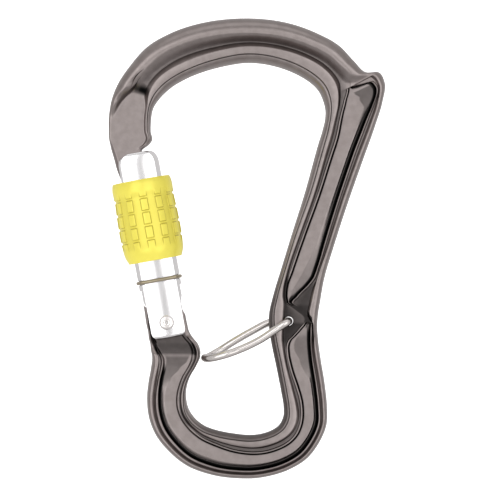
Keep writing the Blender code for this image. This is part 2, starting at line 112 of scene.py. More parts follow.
# Measures of the half section against station number. The first group runs from the inner edge
# and the second from the outer edge; heights are from mid-plane.
PLATE_HALF = 2.0
FROM_INNER = {
    "groove": ((0, 0.5), (4, 0.6), (7, 0.8), (8, 1.0), (9, 1.6), (12, 1.9), (17, 2.0), (20, 1.8),
               (22, 1.35), (25, 1.3), (26, 0.9), (27, 0.9), (28.5, 1.1), (30, 1.3), (34, 1.3),
               (37, 1.4), (41, 1.3), (44, 1.1), (45, 0.7), (46, 0.5), (52, 0.5), (56, 0.5)),
    "flange_end": ((0, 1.0), (5, 1.2), (7, 1.4), (8, 1.6), (9, 3.0), (10, 4.0), (12, 4.1),
                   (14, 4.0),
                   (17, 4.8), (19, 4.5), (20, 4.2), (21, 3.5), (22, 2.8), (25, 2.3), (26, 1.9),
                   (27, 1.6), (27.7, 1.9), (28.5, 3.1), (30, 3.3), (31, 2.7), (32, 2.4),
                   (33, 2.8), (35, 3.3), (38, 3.2), (40, 2.8), (41, 2.3), (42, 1.9), (45, 1.4),
                   (46, 1.1), (52, 1.0), (56, 1.0)),
    "valley": ((0, 1.4), (5, 1.6), (7, 1.8), (8, 2.1), (9, 4.2), (10, 5.2), (11, 5.6),
               (14, 5.1), (17, 5.8),
               (19, 5.5), (20, 4.9), (21, 4.1), (22, 3.3), (24, 3.05), (25, 2.8), (26, 2.3),
               (27, 2.1), (27.7, 2.4), (28.5, 3.7), (30, 3.9), (31, 3.3), (32, 2.9), (33, 3.3),
               (35, 4.0), (37, 3.8), (40, 3.1), (41, 2.6), (42, 2.3), (44, 2.2), (45, 1.8),
               (46, 1.5), (52, 1.4), (56, 1.4)),
    "wall_in": ((0, 2.9), (5, 2.9), (8, 4.6), (9, 6.4), (17, 6.6), (19.6, 7.5), (20.2, 7.1),
                (21, 5.8), (22, 4.7), (24, 4.3), (25, 3.8), (26, 3.3), (27, 3.0), (27.8, 2.9),
                (28.3, 3.7), (28.8, 7.0), (29.4, 9.6), (29.85, 9.4), (30.28, 8.1), (30.76, 6.3),
                (31.21, 4.4), (31.6, 3.9), (32.2, 3.9), (33, 4.6), (35, 5.0), (37, 5.4), (39, 5.0),
                (40, 4.6), (41, 3.8), (42, 3.3), (43, 3.0), (45, 2.7), (46, 2.3), (52, 2.2),
                (56, 2.2)),
}
FROM_OUTER = {
    "wall_out": ((0, 2.4), (6, 2.4), (8, 3.6), (9, 4.4), (12, 5.4), (18, 5.2), (19.4, 6.2),
                 (19.8, 7.8), (20.04, 8.4), (20.14, 8.0), (20.26, 6.9), (20.36, 5.5),
                 (20.46, 4.2), (20.6, 3.65), (20.8, 3.35), (21, 3.1), (21.4, 2.9), (22.5, 3.4),
                 (23.7, 3.4), (25, 3.2),
                 (26, 3.0), (26.7, 2.9), (27.06, 3.2), (27.43, 4.3), (27.88, 6.3), (28.25, 7.5),
                 (28.5, 7.6), (29.0, 4.4), (29.4, 2.4), (29.8, 2.1), (30.3, 2.2), (31.6, 2.6),
                 (36, 2.7), (40, 2.7), (42, 3.0), (46, 3.5), (47, 3.4), (48.6, 3.4), (50, 2.4),
                 (56, 2.0)),
    "lip_out": ((0, 2.0), (6, 2.0), (9, 3.8), (12, 4.8), (18, 4.4), (19.4, 5.5),
                (19.8, 7.1), (20.04, 7.7), (20.14, 7.3), (20.26, 6.2), (20.36, 4.8), (20.46, 3.5),
                (20.6, 2.95), (20.8, 2.65), (21, 2.4), (22.5, 2.7), (25, 2.5), (26, 2.3),
                (26.7, 2.25), (27.06, 2.5), (27.43, 3.6),
                (27.88, 5.6), (28.25, 6.8), (28.5, 6.9), (29.0, 3.9), (29.4, 1.9), (29.8, 1.6),
                (31.6, 2.0), (36, 1.9), (40, 1.9), (43, 2.2), (47, 2.7), (48.6, 2.7), (50, 1.9),
                (56, 1.6)),
    "ledge_end": ((0, 1.0), (6, 1.0), (7.4, 1.7), (8.3, 3.0), (9, 3.9), (12, 4.4), (18, 3.6),
                  (20, 2.8), (20.5, 2.4), (21, 2.0), (22.5, 2.0), (25, 1.95), (26, 1.8),
                  (27, 1.9), (27.6, 2.6), (28.4, 2.8),
                  (29.3, 2.7), (29.8, 1.5), (31.6, 1.6), (36, 1.5), (40, 1.5), (43, 1.8),
                  (47, 2.2), (50, 1.5), (56, 1.2)),
    "crest": ((0, 0.9), (6, 0.9), (8, 1.6), (9, 2.5), (12, 3.7), (18, 2.9), (20, 2.0), (22, 1.4),
              (25, 1.45), (26, 1.4), (27.6, 2.0), (28.4, 2.2), (29.3, 2.1), (29.8, 1.2),
              (31.6, 1.2), (36, 1.1), (40, 1.1), (43, 1.3), (47, 1.6), (49.3, 1.6), (50.5, 0.8),
              (56, 0.8)),
    "round_out": ((0, 1.2), (3, 1.0), (5, 0.4), (7, 0.5), (8, 1.0), (9, 2.3), (12, 3.4),
                  (17, 2.7), (20, 1.7), (22, 1.0), (26, 1.1), (29, 1.1), (32, 0.9), (40, 0.8),
                  (44, 1.0), (48, 1.2), (50.5, 0.5), (56, 0.5)),
}
HEIGHTS = {
    "crest_in": ((3, PLATE_HALF), (4, 2.6), (6, 3.4), (9, 4.4), (12, 4.9), (18, 4.9), (23, 4.5),
                 (28, 3.9), (32, 3.9), (35, 4.3), (39, 4.6), (46, 4.3), (50, 3.6), (52, 2.9),
                 (52.6, PLATE_HALF)),
    "crest_out": ((7, PLATE_HALF), (8, 3.3), (9, 4.4), (10, 4.9), (14, 5.1), (18, 4.9),
                  (20, 4.4), (24, 4.5), (28, 3.9), (32, 4.0), (36, 4.5), (44, 4.5),
                  (49.3, 4.0), (50.5, 2.8), (52, PLATE_HALF)),
    "channel": ((8, PLATE_HALF), (9.5, 3.2), (17, 3.2), (19, 3.0), (20, 3.2), (22, 3.6),
                (25, 3.4), (27.5, 3.1), (31, 3.0), (33, 3.1), (36, 3.5), (44, 3.4), (48, 2.9),
                (50.5, PLATE_HALF)),
}
FLOOR = ((47.0, 2.5), (50.0, PLATE_HALF))  # half thickness of the web under a pocket
WEB_RUNS_OUT = ((0.0, 8.9), (4.0, 8.75), (7.1, 8.8), (9.0, 7.4), (11.0, 6.3))  # across, station
WEB_RUN = 0.8  # stations that the milled web takes to rise to the arch
LIP_DROP = 0.45  # how far a pocket's lips stay under the crests
ROPE_STEP = 0.3  # the rounded rope side ends this much under the inner flange
# Masks: 1 where the thing named is there.
PLAIN = ((3.0, 0.0), (8.0, 1.0), (50.0, 1.0), (51.5, 0.0))  # the frame is more than a plate
POCKET = ((20.02, 0.0), (20.1, 1.0), (28.35, 1.0), (28.6, 0.0), (29.7, 0.0),
          (29.95, 1.0))  # web sunk between walls
INNER_LIP = ((41.0, 1.0), (43.2, 0.0))  # a lip along the inner wall
# OUTER_WALL also sets the painted shade of the black line down that wall
OUTER_WALL = ((20.0, 0.0), (20.1, 0.9), (20.6, 0.9), (21.2, 1.0), (28.3, 1.0), (28.5, 0.6),
              (29.8, 0.6), (30.6, 1.0), (47.6, 1.0), (48.7, 0.0))  # the deep outer wall
# LEDGE also lays painted shade over that flat
LEDGE = ((26.9, 0.0), (27.5, 1.0), (31.0, 1.0), (31.5, 0.0))  # the flat round the wire's hole
# painted shade on the slopes of the pocket floor
FACET_SHADE = ((20.62, 0.0), (20.72, 1.0), (22.2, 1.0), (23.4, 0.0), (25.6, 0.0), (26.8, 0.6),
         (28.2, 0.6), (30.4, 0.4), (31.0, 0.8), (32.2, 0.8), (33.0, 0.0), (46.2, 0.0),
         (47.2, 0.9), (48.9, 0.9), (49.6, 0.0))  # dark slopes of the floor
FACET_EDGE = ((20.6, 0.2), (20.8, 0.3), (21.3, 0.5), (22.2, 0.85), (24.0, 0.9), (26.0, 0.8),
              (27.2, 0.5), (28.2, 0.45), (30.4, 0.15), (31.4, 0.25), (32.0, 0.5), (32.9, 0.9),
              (38.0, 0.8), (46.0, 0.8), (47.0, 0.6), (47.8, 0.35), (48.6, 0.12),
              (49.4, 0.05))  # share of the floor's width where they begin
# painted shade over the hollow under the gate's foot
RECESS_SHADE = ((49.2, 0.0), (49.7, 1.0), (50.7, 1.1), (51.4, 1.0), (52.6, 1.0), (53.4, 0.0))
ARCH = ((9.4, 0.0), (10.4, 1.0), (18.6, 1.0), (19.5, 0.0))  # one plain hollow, evenly drawn
LIP_SHADE = ((20.3, 0.1), (21.6, 1.0))  # how dark the foot of the inner lip is
# painted shade: how much darker the rope side is drawn down the spine and round the basket
ROPE_SIDE_SHADE = ((26.0, 0.0), (29.0, 0.5), (35.0, 0.45), (41.0, 0.4), (44.0, 0.0))


def smooth_step(t):
    """0 to 1 with level ends."""
    t = np.clip(t, 0.0, 1.0)
    return t * t * (3.0 - 2.0 * t)


def eased(keys, station):
    """The keyed value at each station number, moving from key to key by a smooth step."""
    places, values = (np.array(column, dtype=float) for column in zip(*keys))
    after = np.clip(np.searchsorted(places, station, side="right"), 1, len(places) - 1)
    t = (station - places[after - 1]) / (places[after] - places[after - 1])
    return values[after - 1] + (values[after] - values[after - 1]) * smooth_step(t)


def hermite(points, knots, at):
    """Cubic Hermite curve through points at knots, each slope a central difference."""
    slopes = np.gradient(points, knots, axis=0)
    piece = np.clip(np.searchsorted(knots, at, side="right") - 1, 0, len(knots) - 2)
    span = (knots[piece + 1] - knots[piece])[:, None]
    t = (at - knots[piece])[:, None] / span
    return ((2 * t**3 - 3 * t**2 + 1) * points[piece] + (t**3 - 2 * t**2 + t) * span * slopes[piece]
            + (3 * t**2 - 2 * t**3) * points[piece + 1]
            + (t**3 - t**2) * span * slopes[piece + 1])


def flowing(keys, station):
    """The keyed value at each station number, on a smooth curve through the keys."""
    places, values = (np.array(column, dtype=float) for column in zip(*keys))
    at = np.clip(station, places[0], places[-1])
    return hermite(values[:, None], places, at)[:, 0]


def smooth_curve(points, count):
    """Evenly spaced points on the Hermite curve through the given ones."""
    points = np.array(points, dtype=float)
    gaps = np.linalg.norm(np.diff(points, axis=0), axis=1)
    knots = np.concatenate(([0.0], np.cumsum(gaps)))
    return hermite(points, knots, np.linspace(0.0, knots[-1], count))


# ---- meshes and materials -----------------------------------------------------------------

def grid_faces(rows, columns, wrap_rows=False, wrap_columns=True):
    """Quads of a grid whose vertex number is row * columns + column."""
    row = np.arange(rows if wrap_rows else rows - 1)[:, None]
    column = np.arange(columns if wrap_columns else columns - 1)[None, :]
    next_row, next_column = (row + 1) % rows, (column + 1) % columns
    quads = np.stack(np.broadcast_arrays(row * columns + column, row * columns + next_column,
                                         next_row * columns + next_column,
                                         next_row * columns + column), axis=-1)
    return quads.reshape(-1, 4)


def solid(name, points, faces, material, body, caps=(), attributes=None, sharp=math.radians(40)):
    """A smooth-shaded closed piece from millimetre points; caps are rings closed by a fan.

    All fans run the same way, so the first cap starts inside out. face_outwards() turns it once
    the piece is finished.
    """
    points = np.asarray(points, dtype=float).reshape(-1, 3)
    fans, centres = [], []
    for ring in caps:
        ring = np.asarray(ring)
        hub = len(points) + len(centres)
        centres.append(points[ring].mean(axis=0))
        fans.append(np.stack((ring, np.roll(ring, -1), np.full(len(ring), hub)), axis=1))
    if centres:
        points = np.vstack((points, centres))
    mesh = bpy.data.meshes.new(name)
    loops = [np.asarray(faces).reshape(-1)] + [fan.reshape(-1) for fan in fans]
    sizes = np.concatenate([np.full(len(faces), np.shape(faces)[1])]
                           + [np.full(len(fan), 3) for fan in fans])
    loops = np.concatenate(loops)
    mesh.vertices.add(len(points))
    mesh.vertices.foreach_set("co", (points * MM).ravel())
    mesh.loops.add(len(loops))
    mesh.loops.foreach_set("vertex_index", loops.astype(np.int32))
    mesh.polygons.add(len(sizes))
    starts = np.concatenate(([0], np.cumsum(sizes)[:-1]))
    mesh.polygons.foreach_set("loop_start", starts.astype(np.int32))
    mesh.update(calc_edges=True)
    for key, values in (attributes or {}).items():
        layer = mesh.attributes.new(key, "FLOAT", "CORNER")
        padded = np.concatenate((np.ravel(values), np.zeros(len(centres))))
        layer.data.foreach_set("value", padded[loops].astype(np.float32))
    mesh.materials.append(material)
    made = bpy.data.objects.new(name, mesh)
    bpy.context.scene.collection.objects.link(made)
    if enclosed_volume(mesh) < 0:
        mesh.flip_normals()
    mesh.shade_smooth()
    mesh.set_sharp_from_angle(angle=sharp)
    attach(made, body)
    return made


def face_outwards(mesh):
    """Turn every face of a finished closed mesh outwards."""
    work = bmesh.new()
    work.from_mesh(mesh)
    bmesh.ops.recalc_face_normals(work, faces=work.faces)
    work.to_mesh(mesh)
    work.free()


def enclosed_volume(mesh):
    """Sum of the triangles' signed tetrahedra, which is negative if the faces point inwards."""
    mesh.calc_loop_triangles()
    places = np.empty(len(mesh.vertices) * 3)
    mesh.vertices.foreach_get("co", places)
    corners = np.empty(len(mesh.loop_triangles) * 3, dtype=np.int32)
    mesh.loop_triangles.foreach_get("vertices", corners)
    a, b, c = places.reshape(-1, 3)[corners.reshape(-1, 3)].transpose(1, 0, 2)
    return float(np.einsum("ij,ij->i", a, np.cross(b, c)).sum() / 6)


def cut(piece, points, faces, caps):
    """Takes a closed cutter away from a piece with an exact Boolean, applied to its mesh."""
    tool = solid("tool", points, faces, piece.data.materials[0], "frame", caps)
    step = piece.modifiers.new("cut", "BOOLEAN")
    step.object = tool
    step.solver = "EXACT"
    graph = bpy.context.evaluated_depsgraph_get()
    cut_mesh = bpy.data.meshes.new_from_object(piece.evaluated_get(graph))
    piece.modifiers.clear()
    old = piece.data
    piece.data = cut_mesh
    cut_mesh.name = piece.name
    bpy.data.meshes.remove(old)
    bpy.data.objects.remove(tool, do_unlink=True)


def prism(outline, low, high, axis):
    """Points, faces and cap rings of an outline carried along one axis, low to high."""
    outline = np.asarray(outline, dtype=float)
    count = len(outline)
    level = np.repeat([low, high], count)[:, None]
    flat = np.tile(outline, (2, 1))
    points = np.insert(flat, [axis], level, axis=1)
    return points, grid_faces(2, count), (np.arange(count), np.arange(count, 2 * count))


def circle(radius, steps, centre=(0.0, 0.0)):
    """Points round a circle, the first not repeated at the end."""
    turn = np.linspace(0.0, 2 * math.pi, steps, endpoint=False)
    return np.stack((centre[0] + radius * np.cos(turn), centre[1] + radius * np.sin(turn)), axis=1)


def arc(centre, radius, start, end, steps=10):
    """Points along an arc, both ends included, with its angles in degrees."""
    turn = np.radians(np.linspace(start, end, steps + 1))
    return np.stack((centre[0] + radius * np.cos(turn), centre[1] + radius * np.sin(turn)), axis=1)


def new_material(name, colour, roughness, metallic=1.0):
    """A material with its shader, and the node tree to add to."""
    made = bpy.data.materials.new(name)
    made.use_nodes = True
    shader = made.node_tree.nodes["Principled BSDF"]
    shader.inputs["Base Color"].default_value = (*colour, 1.0)
    shader.inputs["Roughness"].default_value = roughness
    shader.inputs["Metallic"].default_value = metallic
    return made, shader, made.node_tree


def noise(tree, scale, detail=3.0, stretch=(1.0, 1.0, 1.0)):
    """A noise texture on the piece's own coordinates, stretched along its axes."""
    place = tree.nodes.new("ShaderNodeTexCoord")
    mapping = tree.nodes.new("ShaderNodeMapping")
    mapping.inputs["Scale"].default_value = stretch
    texture = tree.nodes.new("ShaderNodeTexNoise")
    texture.inputs["Scale"].default_value = scale
    texture.inputs["Detail"].default_value = detail
    tree.links.new(place.outputs["Object"], mapping.inputs["Vector"])
    tree.links.new(mapping.outputs["Vector"], texture.inputs["Vector"])
    return texture.outputs["Fac"]


def remap(tree, value, low, high, source=(0.0, 1.0)):
    """A Map Range node from the source span to low..high."""
    node = tree.nodes.new("ShaderNodeMapRange")
    node.inputs["From Min"].default_value, node.inputs["From Max"].default_value = source
    node.inputs["To Min"].default_value, node.inputs["To Max"].default_value = low, high
    tree.links.new(value, node.inputs["Value"])
    return node.outputs["Result"]


def blend_colours(tree, fac, first, second):
    """A colour mix; each side is a colour or another node's output."""
    node = tree.nodes.new("ShaderNodeMix")
    node.data_type = "RGBA"
    tree.links.new(fac, node.inputs["Factor"])
    for socket, side in ((node.inputs["A"], first), (node.inputs["B"], second)):
        if isinstance(side, tuple):
            socket.default_value = (*side, 1.0)
        else:
            tree.links.new(side, socket)
    return node.outputs["Result"]


def bump(tree, shader, height, distance, strength=1.0):
    node = tree.nodes.new("ShaderNodeBump")
    node.inputs["Distance"].default_value = distance
    node.inputs["Strength"].default_value = strength
    tree.links.new(height, node.inputs["Height"])
    tree.links.new(node.outputs["Normal"], shader.inputs["Normal"])


def attribute(tree, name):
    node = tree.nodes.new("ShaderNodeAttribute")
    node.attribute_name = name
    return node.outputs["Fac"]


def anodised_grey():
    """Hard anodised forging: satin warm grey, drawn darker and with dimmer reflections where the
    groove attribute holds painted shade.
    """
    made, shader, tree = new_material("anodised_grey", (0.42, 0.38, 0.36), 0.3)
    mottle = remap(tree, noise(tree, 600.0, 4.0), 0.0, 1.0, (0.35, 0.65))
    face = blend_colours(tree, mottle, (0.285, 0.25, 0.242), (0.325, 0.287, 0.278))
    # the groove attribute carries painted shade for the frame's crevices, walls and hollows
    depth = attribute(tree, "groove")
    colour = blend_colours(tree, depth, face, (0.006, 0.006, 0.006))
    tree.links.new(colour, shader.inputs["Base Color"])
    # painted shade also dims the reflections where the groove attribute is high
    painted_shade_tint = blend_colours(tree, depth, (1.0, 1.0, 1.0), (0.08, 0.08, 0.08))
    tree.links.new(painted_shade_tint, shader.inputs["Specular Tint"])
    dull_and_shade = remap(tree, noise(tree, 900.0, 2.0), 0.27, 0.35)
    tree.links.new(dull_and_shade, shader.inputs["Roughness"])
    bump(tree, shader, noise(tree, 2600.0, 2.0), 0.00002, 0.25)
    return made


def polished_aluminium():
    """Bright drawn aluminium, with faint streaks along its length."""
    made, shader, tree = new_material("polished_aluminium", (0.93, 0.93, 0.94), 0.14)
    streak = noise(tree, 900.0, 3.0, (1.0, 1.0, 0.05))
    tree.links.new(blend_colours(tree, streak, (0.90, 0.90, 0.91), (0.96, 0.96, 0.97)),
                   shader.inputs["Base Color"])
    tree.links.new(remap(tree, streak, 0.12, 0.22), shader.inputs["Roughness"])
    bump(tree, shader, streak, 0.00001, 0.2)
    return made


def yellow_anodised():
    """Bright anodised yellow, with painted shade from the groove attribute between and round the
    grip pads.
    """
    made, shader, tree = new_material("yellow_anodised", (0.90, 0.82, 0.12), 0.3, 0.25)
    tone = noise(tree, 500.0, 3.0)
    face = blend_colours(tree, tone, (0.78, 0.69, 0.09), (0.86, 0.77, 0.115))
    # the groove attribute carries painted shade
    depth = attribute(tree, "groove")
    tree.links.new(blend_colours(tree, depth, face, (0.36, 0.29, 0.015)),
                   shader.inputs["Base Color"])
    tree.links.new(remap(tree, tone, 0.26, 0.36), shader.inputs["Roughness"])
    bump(tree, shader, noise(tree, 2400.0, 2.0), 0.00001, 0.2)
    return made


def turned_metal(name, dark, light, roughness):
    """A bare metal with fine turning marks: two tones and a roughness that follows them."""
    made, shader, tree = new_material(name, light, roughness)
    marks = noise(tree, 1500.0, 3.0, (1.0, 0.4, 1.0))
    tree.links.new(blend_colours(tree, marks, dark, light), shader.inputs["Base Color"])
    tree.links.new(remap(tree, marks, roughness * 0.8, roughness * 1.3),
                   shader.inputs["Roughness"])
    bump(tree, shader, marks, 0.00001, 0.2)
    return made


ANODISED = anodised_grey()
ALUMINIUM = polished_aluminium()
YELLOW = yellow_anodised()
RIVET_STEEL = turned_metal("rivet_steel", (0.78, 0.74, 0.72), (0.90, 0.88, 0.87), 0.22)
SPRING_STEEL = turned_metal("spring_steel", (0.48, 0.48, 0.49), (0.66, 0.66, 0.67), 0.26)
WIRE_STEEL = turned_metal("wire_steel", (0.64, 0.61, 0.59), (0.80, 0.77, 0.75), 0.2)
RING_STEEL = turned_metal("ring_steel", (0.34, 0.29, 0.20), (0.48, 0.42, 0.31), 0.3)
THREAD_METAL = turned_metal("thread_aluminium", (0.66, 0.66, 0.67), (0.78, 0.78, 0.79), 0.3)


# ---- frame --------------------------------------------------------------------------------

RINGS_PER_STATION = 7
FINE_STRETCHES = ((7.0, 10.0, 13), (19.8, 20.9, 50), (20.9, 21.8, 18), (27.0, 32.0, 20),
                  (48.4, 50.0, 14))  # first, last, rings each
CORNER_STEPS = 2
ROUND_STEPS = 7


def ring_stations():
    """Station numbers of the rings, closer together at the ends of the pockets."""
    last = len(STATIONS) - 1
    every = np.linspace(0, last, last * RINGS_PER_STATION + 1)
    for first, end, rings in FINE_STRETCHES:
        fine = np.arange(first, end, 1.0 / rings)
        every = np.concatenate((every[(every < first) | (every > end)], fine))
    return np.sort(every)


def outline_at(stations):
    """Inner point, unit direction to the outer point, and width at each station."""
    middle = (STATIONS[:, :2] + STATIONS[:, 2:]) / 2
    gaps = np.linalg.norm(np.diff(middle, axis=0), axis=1)
    knots = np.concatenate(([0.0], np.cumsum(gaps)))
    at = np.interp(stations, np.arange(len(STATIONS)), knots)
    table = hermite(STATIONS, knots, at)
    across = table[:, :2] - table[:, 2:]
    width = np.linalg.norm(across, axis=1)
    return table[:, 2:], across / width[:, None], width


def section_corners(stations, width):
    """Corners of the half section, (distance from inner edge, height, painted shade) each.

    From inside out: rope side, step, inner flange, channel, lip, wall, pocket floor, wall,
    lip, channel or ledge, outer flange. Where there is no pocket the columns between the two
    channels lie on one hollow that rises to the outer crest.
    """
    measure = {key: flowing(keys, stations) for key, keys in FROM_INNER.items()}
    measure.update({key: width - flowing(keys, stations) for key, keys in FROM_OUTER.items()})
    crest_in, crest_out, channel = (eased(HEIGHTS[k], stations)
                                    for k in ("crest_in", "crest_out", "channel"))
    plain, sunk_web, lip_mask, deep, ledge, facet_shade, recess_shade, dull_and_shade = (
        eased(mask, stations)
        for mask in (PLAIN, POCKET, INNER_LIP, OUTER_WALL, LEDGE, FACET_SHADE, RECESS_SHADE, ROPE_SIDE_SHADE))
    lip_shade, arch = eased(LIP_SHADE, stations), eased(ARCH, stations)[:, None]
    floor = np.minimum(eased(FLOOR, stations), channel)
    valley, crest, ledge_end = measure["valley"], measure["crest"], measure["ledge_end"]
    wall_in = np.maximum(measure["wall_in"], valley + 0.55)
    wall_out = np.maximum(measure["wall_out"], wall_in + 0.7)
    lip_out = np.maximum(measure["lip_out"], wall_out + 0.6)

    def forged(u):
        """0 on the nose's milled web, 1 past the bent line where the forging begins."""
        across, begins = (np.array(column) for column in zip(*WEB_RUNS_OUT))
        return smooth_step((stations - np.interp(u, across, begins)) / WEB_RUN + 0.15)

    def scoop_shade(u):
        """Painted shade of the scoop where the open channel ends over the milled web."""
        inner_share = 1 - 0.65 * smooth_step((u - 6.0) / 2.0)
        return 3.4 * forged(u) * (1 - forged(u)) * inner_share * (stations < 12)

    def hollow(u):
        """The open channel's height: it rises slowly, then quickly, to the outer crest."""
        t = np.clip((u - valley) / np.maximum(crest - valley, 0.2), 0.0, 1.0)
        flat = channel + (crest_out - channel) * smooth_step((u - ledge_end) / (crest - ledge_end))
        open_rise = channel + (crest_out - channel) * np.sin(math.pi / 2 * t) ** 2
        height = open_rise + (flat - open_rise) * ledge
        return PLATE_HALF + (height - PLATE_HALF) * forged(u)

    def sunk(u, height, weight=1.0):
        return hollow(u) + (height - hollow(u)) * sunk_web * weight

    lip_in = channel + (crest_in - LIP_DROP - channel) * lip_mask
    lip_top = crest_out - LIP_DROP
    ledge_low = crest_out - LIP_DROP - 0.45
    ledge_low = ledge_low + (channel - ledge_low) * ledge
    # painted shade down the open channel's valley and over the ledge round the wire's hole
    valley_shade = (0.55 + 0.05 * sunk_web) * forged(valley) * plain * (1 - ledge) + 0.9 * ledge
    zero = np.zeros_like(width)
    spread = wall_out - wall_in
    slope = wall_in + 0.35 + (spread - 1.0) * eased(FACET_EDGE, stations)

    def column(u, height, dark):
        return np.stack((u, height, dark), axis=-1)

    # painted shade at u: the inside value in a pocket, the outside value on the open channel,
    # darker over the ledge
    def shade(u, inside, outside):
        open_part = outside * forged(u) * (1 - ledge) + 0.9 * ledge + scoop_shade(u)
        return (inside * sunk_web + open_part * (1 - sunk_web)) * plain

    before_lip = np.maximum(wall_in - 0.8, valley + 0.3)
    lip_foot = np.minimum(lip_out + 0.35, ledge_end - 0.05)
    # painted shade of the dark line along the inner wall, darker where the inner lip stands
    inner_line_shade = 0.2 + 0.8 * lip_mask
    # the third entry of each column is painted shade: the rope side's step line, the valley, the
    # walls' black lines and the floor's slopes
    rows = [
        column(measure["groove"] - 0.12, crest_in - ROPE_STEP * plain, 0.15 * plain + 0.5 * dull_and_shade),
        column(measure["groove"] + 0.06, crest_in - (ROPE_STEP + 0.1) * plain, 0.95 * plain),
        column(measure["groove"] + 0.24, crest_in, zero),
        column(measure["flange_end"], crest_in - 0.12 * plain, zero),
        column(valley, hollow(valley), valley_shade + scoop_shade(valley)),
        column(valley + 0.25, hollow(valley + 0.25), valley_shade + scoop_shade(valley)),
        column(before_lip, hollow(before_lip) * (1 - sunk_web) + channel * sunk_web,
               valley_shade * (1 - 0.3 * (1 - sunk_web)) + scoop_shade(before_lip)),
        column(wall_in - 0.55, sunk(wall_in - 0.55, lip_in, lip_mask), shade(wall_in, 0.0, 0.24)),
        column(wall_in - 0.26, sunk(wall_in - 0.26, lip_in, lip_mask), shade(wall_in, 0.15, 0.22)),
        column(wall_in - 0.14, sunk(wall_in - 0.1, floor + 0.4), shade(wall_in, inner_line_shade, 0.2)),
        column(wall_in + 0.22, sunk(wall_in + 0.22, floor), shade(wall_in, inner_line_shade, 0.18)),
        column(wall_in + 0.36, sunk(wall_in + 0.36, floor), shade(wall_in + 0.3, 0.0, 0.16)),
        column(slope - 0.12, sunk(slope - 0.12, floor), shade(slope, 0.0, 0.1)),
        column(slope + 0.12, sunk(slope + 0.12, floor), shade(slope, 0.62 * facet_shade, 0.09)),
        column(wall_out - 0.56, sunk(wall_out - 0.56, floor - 0.25 * deep),
               shade(wall_out, 0.62 * facet_shade + 0.1 * deep * (1 - facet_shade), 0.05)),
        column(wall_out - 0.4, sunk(wall_out - 0.4, floor - 0.3 * deep),
               shade(wall_out, 0.3 * (1 - deep) * facet_shade + deep, 0.05)),
        column(wall_out + 0.05, sunk(wall_out + 0.05, floor - 0.1 * deep),
               shade(wall_out, deep, 0.04)),
        column(wall_out + 0.34, sunk(wall_out + 0.34, lip_top - 0.3),
               shade(wall_out + 0.28, deep, 0.03)),
        column(wall_out + 0.5, sunk(wall_out + 0.5, lip_top),
               shade(wall_out + 0.46, 0.15 * deep, 0.02)),
        column(lip_out, sunk(lip_out, lip_top), shade(lip_out, 0.0, 0.03)),
        column(lip_foot, sunk(lip_foot, ledge_low),
               shade(lip_foot, 0.35 * lip_shade + 0.45 * ledge, 0.02)),
        column(ledge_end, sunk(ledge_end, ledge_low),
               shade(ledge_end, 0.6 * lip_shade + 0.25 * ledge, 0.0)),
        column(crest, crest_out, zero),
    ]
    corners = np.stack(rows, axis=1)
    # painted shade over the hollow under the gate's foot
    corners[:, 4:-2, 2] += 0.7 * recess_shade[:, None]
    between = slice(5, len(rows) - 1)
    share = np.linspace(0.0, 1.0, len(rows) - 4)[1:-1]
    even = valley[:, None] + (crest - valley)[:, None] * share
    # the arch's evenly drawn columns carry painted shade, darkest by the valley and fading up the
    # hollow
    plain_hollow = np.stack((even, np.stack([hollow(u) for u in even.T], axis=1),
                             np.broadcast_to(0.58 * (1 - share) ** 1.7, even.shape)), axis=-1)
    corners[:, between] += (plain_hollow - corners[:, between]) * arch[..., None]
    corners[..., 2] = np.clip(corners[..., 2], 0.0, 1.0)
    low = measure["groove"] - 0.12
    high = width - np.minimum(eased(FROM_OUTER["round_out"], stations), width * 0.4)
    step = 0.04
    order = np.arange(corners.shape[1])
    across = np.maximum.accumulate(corners[:, :, 0], axis=1)
    across = np.maximum(across, low[:, None] + step * order)
    across = np.minimum(across, high[:, None] - step * (order[-1] - order))
    corners[:, :, 0] = across
    return corners, crest_out, high


def rounded(corners, steps, reach):
    """Each corner becomes a quadratic Bezier that starts and ends within reach of it.

    A point of it is (1-t)^2 A + 2t(1-t) C + t^2 B, with A and B on the two sides of corner C,
    no further along them than 0.46 of the side.
    """
    before = corners[:, :-2] - corners[:, 1:-1]
    after = corners[:, 2:] - corners[:, 1:-1]
    centre = corners[:, 1:-1]
    sides = []
    for side in (before, after):
        length = np.linalg.norm(side[..., :2], axis=-1, keepdims=True) + 1e-9
        share = np.minimum(0.46, reach / length)
        sides.append(centre + side * share)
    t = np.linspace(0.0, 1.0, steps + 1)[:, None]
    start, corner, end = (p[:, :, None, :] for p in (sides[0], centre, sides[1]))
    curve = (1 - t) ** 2 * start + 2 * t * (1 - t) * corner + t**2 * end
    return curve.reshape(len(corners), -1, corners.shape[2])


def half_sections(stations, width):
    """The rounded half section of each ring: a quarter ellipse, the corners, and another."""
    corners, crest_out, high = section_corners(stations, width)
    first = corners[:, :1]
    quarter = np.linspace(0.0, math.pi / 2, ROUND_STEPS, endpoint=False)
    zero = np.zeros((len(width), ROUND_STEPS))
    # painted shade on the rope side
    dull_and_shade = eased(ROPE_SIDE_SHADE, stations)[:, None] * np.ones(ROUND_STEPS)
    rope = np.stack((first[..., 0] * (1 - np.cos(quarter)), first[..., 1] * np.sin(quarter), dull_and_shade),
                    axis=-1)
    nothing = np.zeros_like(width)
    shoulder = np.stack((high, crest_out, nothing), axis=-1)[:, None, :]
    open_channel = 1 - smooth_step((stations - 19.6) / 0.6)
    reach = 0.12 + 0.7 * open_channel[:, None, None] * (np.arange(corners.shape[1]) > 4)[:, None]
    middle = rounded(np.concatenate((rope[:, -1:], corners, shoulder), axis=1), CORNER_STEPS, reach)
    outer = np.stack((high[:, None] + (width - high)[:, None] * np.sin(quarter),
                      crest_out[:, None] * np.cos(quarter), zero), axis=-1)
    end = np.stack((width, nothing, nothing), axis=-1)[:, None, :]
    return np.concatenate((rope, middle, outer, end), axis=1)


